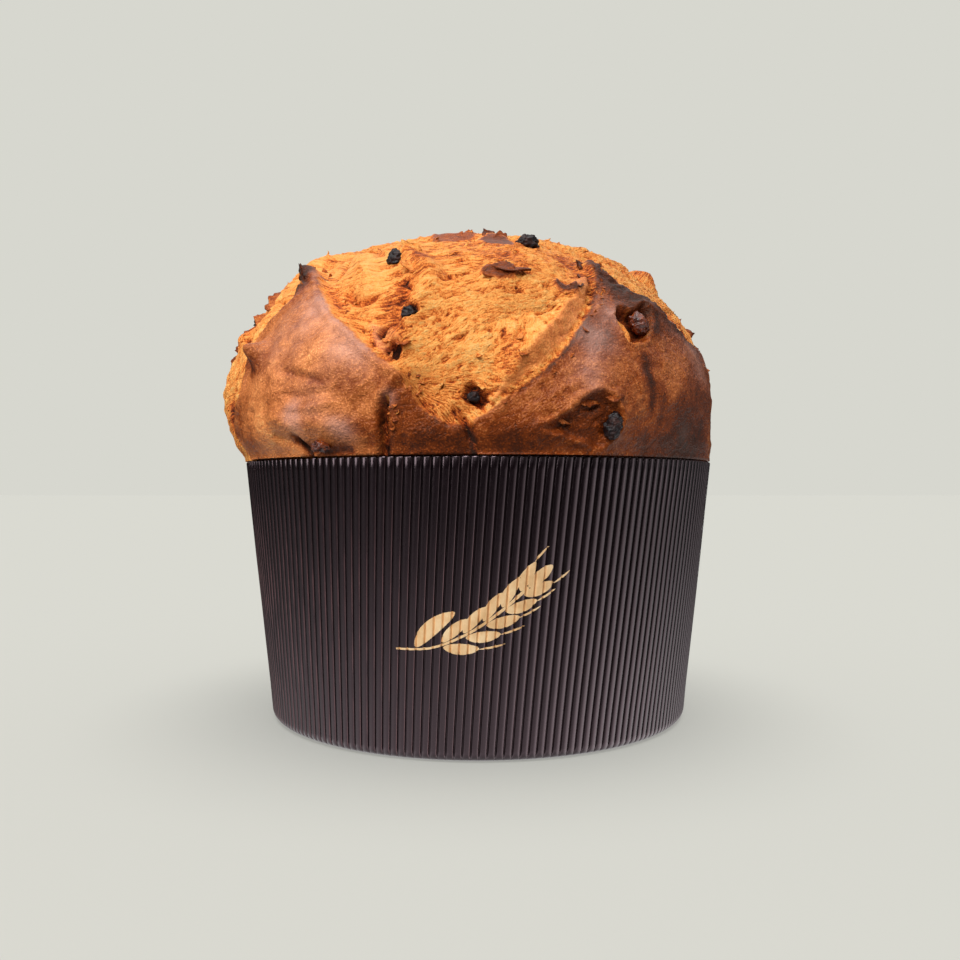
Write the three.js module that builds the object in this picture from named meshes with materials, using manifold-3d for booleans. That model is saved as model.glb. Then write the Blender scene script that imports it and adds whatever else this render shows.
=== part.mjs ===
// A panettone still in the fluted paper case it was baked in, in millimetres, +Z up.
// The case stands on z = 0 with its axis on the origin. Azimuth 0 is the front, towards -Y, and grows towards +X.
// Rise is the angle above the case's rim, seen from the middle of the rim. Both are in degrees.
import * as THREE from "three";
import { ImprovedNoise } from "three/addons/math/ImprovedNoise.js";
import { mergeVertices } from "three/addons/utils/BufferGeometryUtils.js";
import Module from "manifold-3d";

// Driving dimensions of the paper case
const CASE_HEIGHT = 90;
const CASE_RIM_RADIUS = 85;
const CASE_FOOT_RADIUS = 75.2;
const WALL = 1.3; // fluted paper glued on a smooth liner
const FLOOR = 0.6;
const HEEL = 3.2; // rounding between wall and floor
const FADE = 1.8; // height over which the flutes fade out above the heel
const FLUTES = 192;
const FLUTE_DEPTH = 0.85;
const FLUTE_TWIST = 4.2; // degrees that a flute leans over the wall's height
const LINER_SIDES = 96;

// Driving dimensions of the loaf
const CLEARANCE = 0.35; // between the loaf and the paper, and round each fruit
const DOME_RADIUS = 88.6;
const DOME_HEIGHT = 76;
const DOME_POWER = 2.75; // 2 would be an ellipse, more is squarer in the shoulder
const DOME_LEAN = 2.6; // the dome has risen towards -X by this much
const NECK = 2.0; // how much narrower the dome is where it leaves the case
const NECK_RISE = 14;
const DOME_DETAIL = 22; // splits of each icosahedron edge
const SKIN = 2.1; // how far the unbroken crust stands over the torn crumb
const SKIN_ROUNDING = 7; // width over which it rises to that from its edge
const LIP_INSET = 1.5; // from a petal's edge to the crest of its lip
const LIP_WIDTH = 2.2;
const MOAT_WIDTH = 3.2;
const STRANDS = 1.3; // height of the torn crumb's strands
const FRUIT_WRINKLE = 0.22;

const SEAT = CASE_HEIGHT + CLEARANCE; // the dome's underside, just over the rim
const RAD = Math.PI / 180;
const UP = new THREE.Vector3(0, 0, 1);
const wasm = await Module();
wasm.setup();
const noise = new ImprovedNoise();

// The crust's four petals, between the arms of the cut that was made before baking.
// Each outline runs up one side to the tip and down the other, as [azimuth, rise], and starts and ends below the rim.
// Lip is how proud the edge stands, and moat how deep the torn crumb lies beside it.
const PETALS = [
  {
    lip: 0.9,
    moat: 2.6,
    outline: [
      [-63, -8], [-63, 6], [-57, 14], [-57, 21], [-53, 27], [-47, 33], [-50, 38], [-57, 45],
      [-45, 41], [-35, 32], [-25, 24], [-16, 17], [-11.5, 13], [-15.5, 9], [-16, 3], [-16, -8],
    ],
  },
  {
    lip: 0.5,
    moat: 1.1,
    outline: [
      [0, -8], [0, 4.5], [5, 9], [16, 17], [23, 25], [28, 31], [31, 37], [33, 43],
      [39, 37], [46, 31], [56, 27], [67, 23.5], [78, 20], [86, 10], [88, -8],
    ],
  },
  {
    lip: 0.8,
    moat: 2.2,
    outline: [
      [104, -8], [101, 10], [99, 22], [108, 33], [122, 43], [135, 35], [149, 26], [160, 13], [165, -8],
    ],
  },
  {
    lip: 0.8,
    moat: 2.4,
    outline: [
      [182, -8], [184, 9], [195, 21], [203, 33], [221, 44], [238, 35], [249, 27], [262, 13], [267, -8],
    ],
  },
];

// Swells and hollows of the crust: [azimuth, rise, half width in mm, height in mm].
const SWELLS = [
  [-27, 19, 15, 1.6],
  [-36, 13, 7, -1.3],
  [-38, 6, 11, 1.5],
  [-14, 12, 6, 2.0],
  [-52, 21, 3.8, 3.2],
  [-72, 27, 4.5, 3.4],
  [-84, 17, 14, 4.6],
  [-90, 4, 12, -2.2],
  [-56, 42, 7, 3.2],
  [-78, 48, 17, 4.6],
  [27, 6, 9, 2.3],
  [45, 17, 20, 1.4],
  [44, 30, 6, 1.6],
  [88, 47, 8, 9.6],
  [88, 60, 8, -3.6],
  [90, 35, 7, -3.0],
  [92, 27, 6, 1.6],
  [92, 21, 13, 2.2],
  [76, 7, 14, -3.4],
  [12, 40, 16, 1.8],
  [-28, 50, 12, 1.5],
  [120, 22, 17, 2.4],
  [146, 10, 12, 1.8],
  [210, 12, 15, 2.2],
  [236, 24, 13, 2.0],
  [172, 40, 10, 2.6],
];

// Rolls of dough that stretched without tearing: points as [azimuth, rise], then half width and height in mm.
const ROLLS = [
  { path: [[-17, 44], [-9, 36], [-11, 28], [-13, 21], [-13, 16]], width: 3.6, height: 3.0 },
  { path: [[34, 41], [25, 33], [17, 25], [10, 18], [4, 11]], width: 3.4, height: 1.5 },
  { path: [[-75, 50], [-30, 62], [20, 60], [60, 48]], width: 5.0, height: 2.6 },
  { path: [[180, 52], [178, 40], [172, 28], [174, 14]], width: 4.2, height: 2.6 },
  { path: [[95, 50], [150, 62], [215, 58]], width: 4.6, height: 2.4 },
];

// Raisins and candied fruit that show: where each sits, its half sizes along the crust and into it, and how far
// its middle lies under the surface. Turn is its lean along the crust, in degrees.
const FRUITS = [
  { name: "raisin_crown_left", at: [-20, 42.2], half: [2.7, 3.6, 2.6], sunk: 0.3, turn: 12, kind: "raisin" },
  { name: "raisin_in_tear", at: [-12, 26.2], half: [2.6, 2.8, 2.2], sunk: 2.2, turn: 30, kind: "raisin" },
  { name: "raisin_crown", at: [18.3, 49.5], half: [4.2, 3.0, 3.0], sunk: -0.4, turn: 8, kind: "raisin" },
  { name: "raisin_low_tear", at: [0.8, 10.4], half: [2.2, 1.9, 1.9], sunk: 0.6, turn: 40, kind: "raisin" },
  { name: "raisin_in_fold", at: [27, 5.2], half: [2.7, 4.6, 2.6], sunk: 0.6, turn: -22, kind: "raisin" },
  { name: "peel_in_pocket", at: [37.6, 25.6], half: [3.6, 4.2, 2.8], sunk: 0.8, turn: 25, kind: "peel" },
  { name: "peel_at_rim", at: [-31.5, 1.7], half: [3.4, 2.1, 2.4], sunk: 0.4, turn: -6, kind: "peel" },
  { name: "peel_right", at: [78, 6.2], half: [2.2, 3.4, 2.4], sunk: 0.9, turn: 5, kind: "peel" },
  { name: "raisin_back_right", at: [112, 14], half: [3.3, 2.5, 2.4], sunk: 0.6, turn: 20, kind: "raisin" },
  { name: "raisin_back_low", at: [172, 9], half: [2.6, 3.4, 2.4], sunk: 0.7, turn: -15, kind: "raisin" },
  { name: "peel_back", at: [190, 38], half: [3.8, 3.0, 2.8], sunk: 0.3, turn: 35, kind: "peel" },
  { name: "raisin_back_left", at: [229, 17], half: [2.8, 3.5, 2.5], sunk: 0.5, turn: 10, kind: "raisin" },
  { name: "raisin_left_tear", at: [-80, 33], half: [3.2, 2.6, 2.5], sunk: 0.4, turn: -30, kind: "raisin" },
  { name: "raisin_top", at: [150, 74], half: [3.4, 2.8, 2.4], sunk: 0.5, turn: 50, kind: "raisin" },
  { name: "peel_top", at: [-120, 66], half: [3.0, 3.4, 2.6], sunk: 0.4, turn: 0, kind: "peel" },
];

const crustMaterial = new THREE.MeshStandardMaterial({ name: "crust", color: 0xa9642f, roughness: 0.55, metalness: 0 });
const paperMaterial = new THREE.MeshStandardMaterial({ name: "paper", color: 0x2b1a1b, roughness: 0.42, metalness: 0 });
const fruitMaterials = {
  raisin: new THREE.MeshStandardMaterial({ name: "raisin", color: 0x2a1c1c, roughness: 0.4, metalness: 0 }),
  peel: new THREE.MeshStandardMaterial({ name: "candied_peel", color: 0x7a3c1c, roughness: 0.35, metalness: 0 }),
};

function smoothstep(low, high, x) {
  const t = THREE.MathUtils.clamp((x - low) / (high - low), 0, 1);
  return t * t * (3 - 2 * t);
}

// A bell of height 1 that has nearly died out at 2.
function bump(x) {
  return Math.exp(-x * x);
}

function direction(azimuth, rise) {
  const level = Math.cos(rise * RAD);
  return new THREE.Vector3(
    level * Math.sin(azimuth * RAD),
    -level * Math.cos(azimuth * RAD),
    Math.sin(rise * RAD),
  );
}

// Radius of the bare dome along a unit direction, from the middle of its underside.
function domeRadius(dir) {
  const level = Math.hypot(dir.x, dir.y);
  const rise = Math.asin(THREE.MathUtils.clamp(dir.z, 0, 1)) / RAD;
  const shape =
    Math.pow(level / DOME_RADIUS, DOME_POWER) + Math.pow(Math.max(dir.z, 0) / DOME_HEIGHT, DOME_POWER);
  return Math.pow(shape, -1 / DOME_POWER) - NECK * (1 - smoothstep(0, NECK_RISE, rise));
}

// A spline through [azimuth, rise] points, as points on a sphere of the dome's radius.
function pathOnDome(points, steps) {
  const spline = new THREE.SplineCurve(points.map(([azimuth, rise]) => new THREE.Vector2(azimuth, rise)));
  return spline.getPoints(steps).map(({ x, y }) => ({
    azimuth: x,
    rise: y,
    place: direction(x, y).multiplyScalar(DOME_RADIUS),
  }));
}

const petals = PETALS.map((petal) => ({ ...petal, edge: pathOnDome(petal.outline, 48) }));
const rolls = ROLLS.map((roll) => ({ ...roll, line: pathOnDome(roll.path, 24) }));

function distanceToLine(place, line) {
  const nearest = new THREE.Vector3();
  let best = Infinity;
  for (let i = 1; i < line.length; i++) {
    new THREE.Line3(line[i - 1].place, line[i].place).closestPointToPoint(place, true, nearest);
    best = Math.min(best, nearest.distanceTo(place));
  }
  return best;
}

// Whether a point lies inside a petal's outline, by the crossings of a line of equal rise.
function isInside(azimuth, rise, edge) {
  let inside = false;
  for (let i = 0; i < edge.length; i++) {
    const a = edge[i];
    const b = edge[(i + 1) % edge.length];
    if (a.rise > rise === b.rise > rise) continue;
    const crossing = a.azimuth + ((rise - a.rise) / (b.rise - a.rise)) * (b.azimuth - a.azimuth);
    if (azimuth < crossing) inside = !inside;
  }
  return inside;
}

// How the skin and the torn crumb stand off the bare dome.
function tearRelief(dir) {
  const rise = Math.asin(THREE.MathUtils.clamp(dir.z, -1, 1)) / RAD;
  const bearing = Math.atan2(dir.x, -dir.y) / RAD;
  const place = dir.clone().multiplyScalar(DOME_RADIUS);
  let offset = 0;
  for (const { lip, moat, edge } of petals) {
    const gap = distanceToLine(place, edge);
    const inside = [bearing, bearing + 360].some((azimuth) => isInside(azimuth, rise, edge));
    if (inside)
      return SKIN * (1 - Math.exp(-gap / SKIN_ROUNDING)) + lip * bump((gap - LIP_INSET) / LIP_WIDTH);
    offset = Math.min(offset, -moat * (gap / MOAT_WIDTH) * Math.exp(1 - gap / MOAT_WIDTH));
  }
  const strands = noise.noise(dir.x * 9, dir.y * 9, dir.z * 26);
  return offset + STRANDS * strands;
}

function swellRelief(place) {
  let offset = 0;
  for (const [azimuth, rise, width, height] of SWELLS) {
    const gap = direction(azimuth, rise).multiplyScalar(DOME_RADIUS).distanceTo(place);
    offset += height * bump(gap / width);
  }
  for (const { line, width, height } of rolls)
    offset += height * bump(distanceToLine(place, line) / width);
  return offset;
}

// A point of the loaf's crust along a unit direction, lifted by a further height.
function crustPoint(dir, lifted = 0) {
  const place = dir.clone().multiplyScalar(DOME_RADIUS);
  const free = smoothstep(-0.5, 7, Math.asin(THREE.MathUtils.clamp(dir.z, 0, 1)) / RAD);
  const relief = (tearRelief(dir) + swellRelief(place)) * (0.5 + 0.5 * free);
  const radius = domeRadius(dir) + relief + lifted;
  return dir
    .clone()
    .multiplyScalar(radius)
    .add(new THREE.Vector3(-DOME_LEAN * free, 0, SEAT));
}

// The geometry as a manifold solid, with equal vertices merged.
function solidOf(geometry) {
  geometry.deleteAttribute("normal");
  geometry.deleteAttribute("uv");
  const merged = mergeVertices(geometry, 1e-4);
  return new wasm.Manifold(
    new wasm.Mesh({
      numProp: 3,
      vertProperties: merged.attributes.position.array,
      triVerts: new Uint32Array(merged.index.array),
    }),
  );
}

function geometryOf(solid) {
  const { vertProperties, triVerts } = solid.getMesh();
  const geometry = new THREE.BufferGeometry();
  geometry.setAttribute("position", new THREE.BufferAttribute(vertProperties, 3));
  geometry.setIndex(new THREE.BufferAttribute(triVerts, 1));
  geometry.computeVertexNormals();
  return geometry;
}

// Moves each vertex of a geometry to the point that the function gives for it.
function reshape(geometry, movedPoint) {
  const positions = geometry.getAttribute("position");
  const vertex = new THREE.Vector3();
  for (let i = 0; i < positions.count; i++) {
    vertex.fromBufferAttribute(positions, i);
    positions.setXYZ(i, ...movedPoint(vertex, i).toArray());
  }
  return geometry;
}

// Radius of the case's wall at a height, over the flutes and on the smooth liner inside.
function wallRadius(z) {
  return THREE.MathUtils.lerp(CASE_FOOT_RADIUS, CASE_RIM_RADIUS, z / CASE_HEIGHT);
}

function innerRadius(z) {
  return wallRadius(z) - WALL;
}

// A profile of [radius, height] turned round the upright axis.
function turn(profile, sides) {
  return new THREE.LatheGeometry(profile.map(([r, z]) => new THREE.Vector2(r, z)), sides).rotateX(Math.PI / 2);
}

// The dome is the upper half of an icosahedral sphere, moved out to the crust.
function makeDome() {
  const ball = solidOf(new THREE.IcosahedronGeometry(1, DOME_DETAIL));
  const half = geometryOf(ball.trimByPlane([0, 0, 1], 0));
  return solidOf(
    reshape(half, (vertex) => {
      const dir = vertex.clone().normalize();
      if (vertex.length() < 0.9) return new THREE.Vector3(vertex.x * DOME_RADIUS, vertex.y * DOME_RADIUS, SEAT);
      return crustPoint(dir);
    }),
  );
}

// The part of the loaf that fills the case, with its top tucked into the dome.
function makeRoot() {
  const bottom = FLOOR + CLEARANCE;
  const profile = [
    [0, bottom],
    [wallRadius(HEEL) - HEEL - CLEARANCE, bottom],
    [innerRadius(HEEL) - CLEARANCE, HEEL + CLEARANCE],
    [innerRadius(CASE_HEIGHT) - CLEARANCE, SEAT],
    [innerRadius(CASE_HEIGHT) - 14, SEAT + 6],
    [0, SEAT + 6],
  ];
  return solidOf(turn(profile, LINER_SIDES));
}

// A wrinkled fruit, lying on the crust with its third half size pointing out. Grow fattens it for cutting its pocket.
function makeFruit({ at, half, sunk, turn }, grow = 0) {
  const out = direction(...at);
  const middle = crustPoint(out, -sunk);
  const along = UP.clone().cross(out).normalize();
  const frame = new THREE.Matrix4().makeBasis(along, out.clone().cross(along), out);
  frame.multiply(new THREE.Matrix4().makeRotationZ(turn * RAD)).setPosition(middle);
  const blob = reshape(new THREE.IcosahedronGeometry(1, 1), (vertex) => {
    const wrinkle = 1 + FRUIT_WRINKLE * noise.noise(vertex.x * 2.3 + at[0], vertex.y * 2.3 + at[1], vertex.z * 2.3);
    return vertex
      .clone()
      .multiply(new THREE.Vector3(...half))
      .multiplyScalar(wrinkle)
      .addScaledVector(vertex, grow);
  });
  return solidOf(blob.applyMatrix4(frame));
}

function makeLoaf() {
  const whole = makeDome().add(makeRoot());
  return FRUITS.reduce((loaf, fruit) => loaf.subtract(makeFruit(fruit, CLEARANCE)), whole);
}

// The case's outer face is turned with two columns to a flute, and every second column is drawn in between the
// fade above the heel and the rim. The whole is then leaned round the axis, so the flutes slant.
function makeCaseOutside() {
  const heel = [0, 45, 90].map((angle) => [
    wallRadius(HEEL) - HEEL * (1 - Math.sin(angle * RAD)),
    HEEL * (1 - Math.cos(angle * RAD)),
  ]);
  const profile = [
    [0, 0],
    ...heel,
    [wallRadius(HEEL + FADE), HEEL + FADE],
    [wallRadius(CASE_HEIGHT), CASE_HEIGHT],
    [0, CASE_HEIGHT],
  ];
  const fluted = [heel.length + 1, heel.length + 2];
  return reshape(turn(profile, 2 * FLUTES), (vertex, i) => {
    const isDrawnIn = fluted.includes(i % profile.length) && Math.floor(i / profile.length) % 2 === 1;
    const level = isDrawnIn ? 1 - FLUTE_DEPTH / Math.hypot(vertex.x, vertex.y) : 1;
    return vertex
      .clone()
      .multiply(new THREE.Vector3(level, level, 1))
      .applyAxisAngle(UP, (FLUTE_TWIST * RAD * vertex.z) / CASE_HEIGHT);
  });
}

function makeCase() {
  const cup = [
    [0, FLOOR],
    [wallRadius(HEEL) - HEEL, FLOOR],
    [innerRadius(HEEL), HEEL],
    [innerRadius(CASE_HEIGHT + 1), CASE_HEIGHT + 1],
    [0, CASE_HEIGHT + 1],
  ];
  return solidOf(makeCaseOutside()).subtract(solidOf(turn(cup, LINER_SIDES)));
}

function namedMesh(name, geometry, material) {
  const mesh = new THREE.Mesh(geometry, material);
  mesh.name = name;
  return mesh;
}

const panettone = new THREE.Group();
panettone.add(namedMesh("paper_case", geometryOf(makeCase()), paperMaterial));
panettone.add(namedMesh("loaf", geometryOf(makeLoaf()), crustMaterial));
for (const fruit of FRUITS)
  panettone.add(namedMesh(fruit.name, geometryOf(makeFruit(fruit)), fruitMaterials[fruit.kind]));

export default panettone;
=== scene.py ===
"""A panettone in its fluted paper case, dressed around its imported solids. Metres, +Z up, front towards -Y."""

import math
import random

import bmesh
import bpy
import numpy as np
from mathutils import Matrix, Vector, kdtree, noise
from mathutils.bvhtree import BVHTree


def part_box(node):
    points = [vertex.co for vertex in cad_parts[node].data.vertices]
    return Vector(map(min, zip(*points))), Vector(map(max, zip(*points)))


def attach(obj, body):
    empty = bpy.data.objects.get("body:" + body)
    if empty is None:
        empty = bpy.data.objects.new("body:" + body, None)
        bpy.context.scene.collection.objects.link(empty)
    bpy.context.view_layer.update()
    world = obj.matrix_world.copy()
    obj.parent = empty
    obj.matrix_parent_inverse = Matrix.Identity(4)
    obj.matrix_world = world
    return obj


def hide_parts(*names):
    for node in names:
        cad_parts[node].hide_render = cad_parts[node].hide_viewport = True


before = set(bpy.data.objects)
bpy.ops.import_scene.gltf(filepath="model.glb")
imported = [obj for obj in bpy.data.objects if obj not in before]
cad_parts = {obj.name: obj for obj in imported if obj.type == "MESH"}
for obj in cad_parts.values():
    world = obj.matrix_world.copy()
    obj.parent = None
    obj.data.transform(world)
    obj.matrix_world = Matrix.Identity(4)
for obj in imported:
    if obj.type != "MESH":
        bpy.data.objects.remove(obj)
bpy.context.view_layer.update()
MM = 0.001


# The case is a cup of dark brown baking paper: fluted paper glued round a smooth liner, leaning out from a
# rounded heel to a plain cut rim. Made from one circle drawn up the outside, over the rim and down the
# inside, with eight columns of vertices to a flute, closer at its edges. Shapes are in millimetres.
CASE_HEIGHT = 90
RIM_RADIUS = 85
FOOT_RADIUS = 75.2
WALL = 1.3
FLOOR = 0.6
HEEL = 3.2
FLUTES = 192
FLUTE_DEPTH = 0.85
FLUTE_CROWN = 0.05
# Where the columns stand across a flute, from -1 in one valley, over 0 on the ridge, to 1 in the next valley.
COLUMNS = (-1, -0.88, -0.77, -0.64, 0, 0.64, 0.77, 0.88)
FLUTE_TWIST = math.radians(4.2)
PRINT_HEIGHT = 47


def ease(low, high, x):
    t = np.clip((x - low) / (high - low), 0, 1)
    return t * t * (3 - 2 * t)


def bell(x):
    return np.exp(-x * x)


def grain(places, size, octaves=1, seed=0.0):
    """Smooth noise from about -1 to 1, with features of about the given size."""
    shift = Vector((seed, 1.7 * seed, 2.3 * seed))
    return np.array([
        noise.fractal(Vector(place) + shift, 1.0, 2.0, octaves, noise_basis="PERLIN_NEW")
        for place in places / size
    ])


def wall_radius(z):
    return FOOT_RADIUS + (RIM_RADIUS - FOOT_RADIUS) * z / CASE_HEIGHT


def fluted(turn, radius, z):
    """A place on the fluted paper, from its turn before the flutes lean, and its radius and height."""
    phase = np.abs(2 * np.mod(turn * FLUTES / (2 * math.pi) + 0.001, 1) - 1)
    sink = FLUTE_CROWN * phase**2 + (FLUTE_DEPTH - FLUTE_CROWN) * np.clip((phase - 0.64) / 0.36, 0, 1) ** 1.5
    radius = radius - sink * ease(0.2, 2.8, z)
    leaned = turn + FLUTE_TWIST * z / CASE_HEIGHT
    return np.stack([radius * np.sin(leaned), -radius * np.cos(leaned), z], axis=-1)


def draw_rings(bm, edge, rings):
    """Draws an open edge on through rings of radius and height, and returns the last edge."""
    for radius, z in rings:
        made = bmesh.ops.extrude_edge_only(bm, edges=edge)["geom"]
        edge = [e for e in made if isinstance(e, bmesh.types.BMEdge)]
        for vertex in [v for v in made if isinstance(v, bmesh.types.BMVert)]:
            flat = Vector((vertex.co.x, vertex.co.y, 0)).normalized() * radius
            vertex.co = (flat.x, flat.y, z)
    return edge


def keep(bm, name, smooth=True):
    """Makes a finished mesh into an object."""
    for face in bm.faces:
        face.smooth = smooth
    mesh = bpy.data.meshes.new(name)
    bm.to_mesh(mesh)
    bm.free()
    made = bpy.data.objects.new(name, mesh)
    bpy.context.scene.collection.objects.link(made)
    return made


case_bm = bmesh.new()
bmesh.ops.create_circle(case_bm, segments=FLUTES * len(COLUMNS), radius=wall_radius(HEEL) - HEEL)
first = case_bm.edges[:]
heel = [(wall_radius(HEEL) - HEEL * (1 - math.sin(angle)), HEEL * (1 - math.cos(angle)))
        for angle in np.radians((15, 30, 45, 60, 75, 90))]
outside = [(wall_radius(z), z) for z in (5, 12, 26, 42, 58, 74, 86, 89.6)]
over_rim = [(RIM_RADIUS - 0.2, 90), (RIM_RADIUS - WALL, 90)]
inside = [(wall_radius(z) - WALL, z) for z in (86, 60, 30, HEEL)]
edge = draw_rings(case_bm, first, heel + outside)
edge = draw_rings(case_bm, edge, over_rim + inside + [(wall_radius(HEEL) - HEEL, FLOOR), (30, FLOOR)])
bmesh.ops.contextual_create(case_bm, geom=edge)
edge = draw_rings(case_bm, first, [(66, 0), (25, 0)])
bmesh.ops.contextual_create(case_bm, geom=edge)
bmesh.ops.recalc_face_normals(case_bm, faces=case_bm.faces)

corners = np.array([v.co for v in case_bm.verts])
column = np.arctan2(corners[:, 0], -corners[:, 1]) * FLUTES * len(COLUMNS) / (2 * math.pi)
flute, column = np.divmod(np.round(column).astype(int), len(COLUMNS))
phases = np.array(COLUMNS)[column]
turns = (flute + (phases + 1) / 2) * 2 * math.pi / FLUTES
radii = np.hypot(corners[:, 0], corners[:, 1])
heights = corners[:, 2]
is_outer = radii > wall_radius(heights) - HEEL * (1 - ease(0, HEEL, heights)) - 0.9
uneven_wall = 0.22 * grain(corners, 38, 2, 7) * ease(2, 14, heights) * (1 - ease(70, 88, heights))
uneven_wall *= ease(31, 55, np.linalg.norm(corners - (0, -wall_radius(PRINT_HEIGHT), PRINT_HEIGHT), axis=1))
shaped = fluted(turns, radii + uneven_wall, heights)
plain = np.stack([radii * np.sin(turns), -radii * np.cos(turns), heights], axis=-1)
shaped = np.where((is_outer & (heights > 0))[:, None], shaped, plain)
lit_edge = case_bm.verts.layers.float.new("lit_edge")
valley = case_bm.verts.layers.float.new("valley")
for vertex, place, phase in zip(case_bm.verts, shaped, phases):
    vertex.co = Vector(place) * MM
    vertex[lit_edge] = float(phase > 0)
    vertex[valley] = abs(phase)
case = keep(case_bm, "fluted_case")


def colour(red, green, blue):
    """A colour from its 0 to 255 values, as the linear light that a shader takes."""
    def linear(c):
        return c / 12.92 if c <= 0.04045 else ((c + 0.055) / 1.055) ** 2.4
    return (linear(red / 255), linear(green / 255), linear(blue / 255), 1)


class Shading:
    """Builds one material's nodes: add makes a node with its inputs set or linked."""

    def __init__(self, name):
        self.material = bpy.data.materials.new(name)
        self.material.use_nodes = True
        self.nodes = self.material.node_tree.nodes
        self.links = self.material.node_tree.links
        self.surface = self.nodes["Principled BSDF"]

    def feed(self, node, inputs):
        for key, value in inputs.items():
            if isinstance(value, bpy.types.NodeSocket):
                self.links.new(value, node.inputs[key])
            else:
                node.inputs[key].default_value = value

    def add(self, kind, inputs={}, **settings):
        node = self.nodes.new(kind)
        for key, value in settings.items():
            setattr(node, key, value)
        self.feed(node, inputs)
        return node

    def attribute(self, name):
        return self.add("ShaderNodeAttribute", attribute_name=name).outputs

    def noise(self, where, scale, detail=2, roughness=0.5):
        node = self.add("ShaderNodeTexNoise", {"Vector": where, "Scale": scale, "Detail": detail,
                                               "Roughness": roughness})
        return node.outputs["Fac"]

    def math(self, operation, a, b=0.0, clamp=False):
        return self.add("ShaderNodeMath", {0: a, 1: b}, operation=operation, use_clamp=clamp).outputs[0]

    def mapped(self, value, low, high, to_low=0.0, to_high=1.0):
        node = self.add("ShaderNodeMapRange", {"Value": value, "From Min": low, "From Max": high,
                                               "To Min": to_low, "To Max": to_high})
        return node.outputs["Result"]

    def ramp(self, value, stops):
        node = self.add("ShaderNodeValToRGB", {"Fac": value})
        while len(node.color_ramp.elements) < len(stops):
            node.color_ramp.elements.new(0.5)
        for element, (position, shade) in zip(node.color_ramp.elements, stops):
            element.position = position
            element.color = shade
        return node.outputs["Color"]

    def mix(self, amount, a, b, blend="MIX"):
        node = self.add("ShaderNodeMix", data_type="RGBA", blend_type=blend)
        self.feed(node, {"Factor": amount})
        for socket, value in ((node.inputs[6], a), (node.inputs[7], b)):
            if isinstance(value, bpy.types.NodeSocket):
                self.links.new(value, socket)
            else:
                socket.default_value = value
        return node.outputs[2]

    def bump(self, height, distance, strength=1.0, under=None):
        inputs = {"Height": height, "Distance": distance, "Strength": strength}
        if under is not None:
            inputs["Normal"] = under
        return self.add("ShaderNodeBump", inputs).outputs["Normal"]


paper = Shading("baking_paper")
here = paper.add("ShaderNodeTexCoord").outputs["Object"]
fold = paper.attribute("valley")["Fac"]
from_edge = paper.math("ABSOLUTE", paper.math("SUBTRACT", fold, 0.69))
# A painted highlight: thin pale lines along the lit edge of each ridge, fading out towards the rim.
edge_highlight = paper.mapped(from_edge, 0.03, 0.12, 1.0, 0.0)
edge_highlight = paper.math("MULTIPLY", paper.attribute("lit_edge")["Fac"], edge_highlight)
upright = paper.add("ShaderNodeMapping", {"Vector": here, "Scale": (1, 1, 0.12)}).outputs["Vector"]
streaks = paper.noise(upright, 420, 3, 0.6)
fibres = paper.noise(here, 2600, 2, 0.6)
soot = paper.noise(here, 60, 4, 0.6)
# Painted shade: the dye is darker down in the valleys, besides its own streaks and soot.
browning_and_shade = paper.mapped(fold, 0.45, 1.0, 0.5, 0.0)
browning_and_shade = paper.math("ADD", browning_and_shade, paper.mapped(streaks, 0.3, 0.7, -0.15, 0.2))
browning_and_shade = paper.math("ADD", browning_and_shade, paper.mapped(soot, 0.3, 0.7, -0.1, 0.1))
dye_and_valley_shade = paper.ramp(browning_and_shade, [(0.0, colour(2, 1, 1)), (0.45, colour(6, 2, 4)), (1.0, colour(14, 6, 9))])
high = paper.add("ShaderNodeSeparateXYZ", {"Vector": here}).outputs["Z"]
edge_highlight = paper.math("MULTIPLY", edge_highlight, paper.mapped(high, 0.05, 0.08, 1.0, 0.15))
painted_edge_highlight = paper.math("MULTIPLY", edge_highlight, paper.mapped(streaks, 0.35, 0.65, 0.08, 0.4))
paper.feed(paper.surface, {
    "Base Color": paper.mix(painted_edge_highlight, dye_and_valley_shade, colour(150, 108, 108)),
    "Roughness": paper.mapped(fibres, 0.3, 0.7, 0.18, 0.26),
    "Specular IOR Level": 1.0,
    "Specular Tint": (1, 0.74, 0.82, 1),
    "Normal": paper.bump(fibres, 0.00003, 0.3, paper.bump(streaks, 0.0001, 0.3)),
})
case.data.materials.append(paper.material)
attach(case, "root")
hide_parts("paper_case")


# The print on the front of the case is gold foil pressed on the flutes: an ear of wheat on its stalk, as on
# many bakers' papers. Each grain, leaf and awn is cut flat from a disc, sliced along the flutes and wrapped
# round them.
FOIL = 0.05
STALK = [(-25, -13.4), (-14, -12.8), (-3, -8.4), (6.5, -2), (14.5, 5)]
GRAINS = 5


def leaf(bm, foot, angle, length, width, bend=0.0):
    """A pointed flat shape from its foot towards an angle, bent sideways along its length."""
    made = bmesh.ops.create_circle(bm, cap_ends=True, segments=28, radius=1)["verts"]
    for vertex in made:
        run = (vertex.co.x + 1) / 2
        across = math.copysign(abs(vertex.co.y) ** 1.25, vertex.co.y) * width / 2
        vertex.co = (run * length, across + bend * run * run, 0)
    turned = Matrix.Rotation(angle, 4, "Z")
    turned.translation = (foot[0], foot[1], 0)
    bmesh.ops.transform(bm, matrix=turned, verts=made)


def curve_through(points, steps):
    knots = np.array(points, float)
    knots = np.vstack([knots[:1], knots, knots[-1:]])
    along = np.linspace(0, len(points) - 1, steps + 1)
    first = np.minimum(along.astype(int), len(points) - 2)
    f = (along - first)[:, None]
    a, b, c, d = (knots[first + i] for i in range(4))
    return 0.5 * (2 * b + (c - a) * f + (2 * a - 5 * b + 4 * c - d) * f**2 + (3 * b - 3 * c + d - a) * f**3)


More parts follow.
